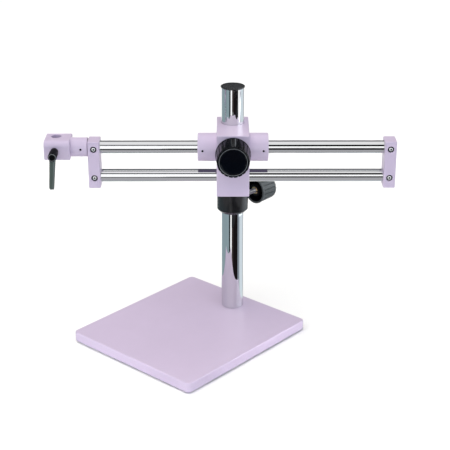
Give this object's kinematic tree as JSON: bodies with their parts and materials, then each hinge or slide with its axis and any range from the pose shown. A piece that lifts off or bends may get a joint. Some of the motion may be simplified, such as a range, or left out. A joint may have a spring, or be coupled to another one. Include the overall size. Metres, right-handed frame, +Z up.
{
  "type": "boom stand",
  "caption": "Bench microscope boom stand: painted base plate, chrome post, swivelling carrier block, sliding parallel-bar boom and a pin head with a clamping lever.",
  "frame": {"origin": "middle of the stand's box on the table, under the feet", "axes": "+Z up along the post, +X along the boom bars towards the free end bracket, -Y towards the side with the clamping lever and the boom lock knob"},
  "size_m": [0.5476, 0.373, 0.4009],
  "materials": {
    "lilac_paint": "satin powder coat",
    "chrome": "polished",
    "steel": "turned",
    "brass": "turned",
    "black_plastic": "moulded satin",
    "black_anodised": "black anodised",
    "green_plastic": "moulded satin, dark grey-green",
    "rubber": "matt",
    "nylon": "natural"
  },
  "bodies": {
    "base": {"base_plate": "lilac_paint", "foot_1": "rubber", "foot_2": "rubber", "foot_3": "rubber", "foot_4": "rubber", "post": "chrome", "post_plug": "steel", "post_washer": "steel", "post_bolt": "steel", "post_cap": "black_plastic"},
    "collar": {"collar": "black_anodised", "thrust_washer": "nylon"},
    "collar_lock_pad": {"collar_lock_pad": "brass"},
    "collar_lock": {"collar_lock_knob": "black_plastic", "collar_lock_face": "black_plastic", "collar_lock_bush": "brass", "collar_lock_stud": "steel"},
    "carrier": {"carrier_block": "lilac_paint", "linear_bearing_left": "steel", "linear_bearing_right": "steel", "guide_bush_left": "brass", "guide_bush_right": "brass", "bearing_screw_left": "black_anodised", "bearing_screw_right": "black_anodised"},
    "boom_lock_pad": {"boom_lock_pad": "brass"},
    "boom_lock": {"boom_lock_knob": "black_plastic", "boom_lock_face": "black_plastic", "boom_lock_bush": "brass", "boom_lock_stud": "steel"},
    "swivel_lock_pad": {"swivel_lock_pad": "brass"},
    "swivel_lock": {"swivel_lock_knob": "black_plastic", "swivel_lock_face": "black_plastic", "swivel_lock_bush": "brass", "swivel_lock_stud": "steel"},
    "boom": {"upper_bar": "chrome", "lower_bar": "chrome", "end_bracket_left": "lilac_paint", "end_bracket_right": "lilac_paint", "bar_screw_left_upper": "chrome", "bar_screw_left_lower": "chrome", "bar_screw_right_upper": "chrome", "bar_screw_right_lower": "chrome", "neck_washer": "black_plastic"},
    "head": {"pin_head": "lilac_paint", "neck_screw": "black_anodised"},
    "clamp_pad": {"clamp_pad": "brass"},
    "clamp_stud": {"clamp_stud": "steel", "lever_core": "steel", "lever_screw": "steel"},
    "lever": {"lever_handle": "green_plastic", "lever_spring": "steel"}
  },
  "joints": [
    {"name": "collar_height", "type": "slide", "parent": "base", "child": "collar", "axis": [0, 0, 1], "range_m": [-0.165, 0.055]},
    {"name": "collar_lock_advance", "type": "slide", "parent": "collar", "child": "collar_lock_pad", "axis": [0.7314, 0.682, 0], "range_m": [0, 0.00125]},
    {"name": "collar_lock_turn", "type": "hinge", "parent": "collar_lock_pad", "child": "collar_lock", "pos_m": [0.05487, 0.11098, 0.21165], "axis": [0.7314, 0.682, 0], "range_deg": [0, 360]},
    {"name": "carrier_swivel", "type": "hinge", "parent": "collar", "child": "carrier", "pos_m": [0.01925, 0.07777, 0.29065], "axis": [0, 0, 1], "continuous": true},
    {"name": "swivel_lock_advance", "type": "slide", "parent": "carrier", "child": "swivel_lock_pad", "axis": [0, 1, 0], "range_m": [0, 0.00125]},
    {"name": "swivel_lock_turn", "type": "hinge", "parent": "swivel_lock_pad", "child": "swivel_lock", "pos_m": [0.01925, 0.10897, 0.29065], "axis": [0, 1, 0], "range_deg": [0, 360]},
    {"name": "boom_lock_advance", "type": "slide", "parent": "carrier", "child": "boom_lock_pad", "axis": [0, -1, 0], "range_m": [0, 0.00125]},
    {"name": "boom_lock_turn", "type": "hinge", "parent": "boom_lock_pad", "child": "boom_lock", "pos_m": [0.01925, 0.00597, 0.31125], "axis": [0, -1, 0], "range_deg": [0, 360]},
    {"name": "boom_slide", "type": "slide", "parent": "carrier", "child": "boom", "axis": [1, 0, 0], "range_m": [-0.18, 0.15]},
    {"name": "head_roll", "type": "hinge", "parent": "boom", "child": "head", "pos_m": [-0.22075, 0.03277, 0.31515], "axis": [1, 0, 0], "range_deg": [-90, 90]},
    {"name": "clamp_advance", "type": "slide", "parent": "head", "child": "clamp_pad", "axis": [0, -1, 0], "range_m": [-0.000312, 0.000156]},
    {"name": "lever_turn", "type": "hinge", "parent": "clamp_pad", "child": "clamp_stud", "pos_m": [-0.25675, 0.01227, 0.31515], "axis": [0, -1, 0], "range_deg": [-90, 45]},
    {"name": "lever_pull", "type": "slide", "parent": "clamp_stud", "child": "lever", "axis": [0, -1, 0], "range_m": [0, 0.004], "stiffness_N_per_m": 600, "springref_m": -0.003, "deforming": ["lever_spring"]}
  ],
  "couplings": [
    {"joint": "collar_lock_turn", "follows": "collar_lock_advance", "rad_per_m": 5026.5},
    {"joint": "swivel_lock_turn", "follows": "swivel_lock_advance", "rad_per_m": 5026.5},
    {"joint": "boom_lock_turn", "follows": "boom_lock_advance", "rad_per_m": 5026.5},
    {"joint": "lever_turn", "follows": "clamp_advance", "rad_per_m": 5026.5}
  ]
}
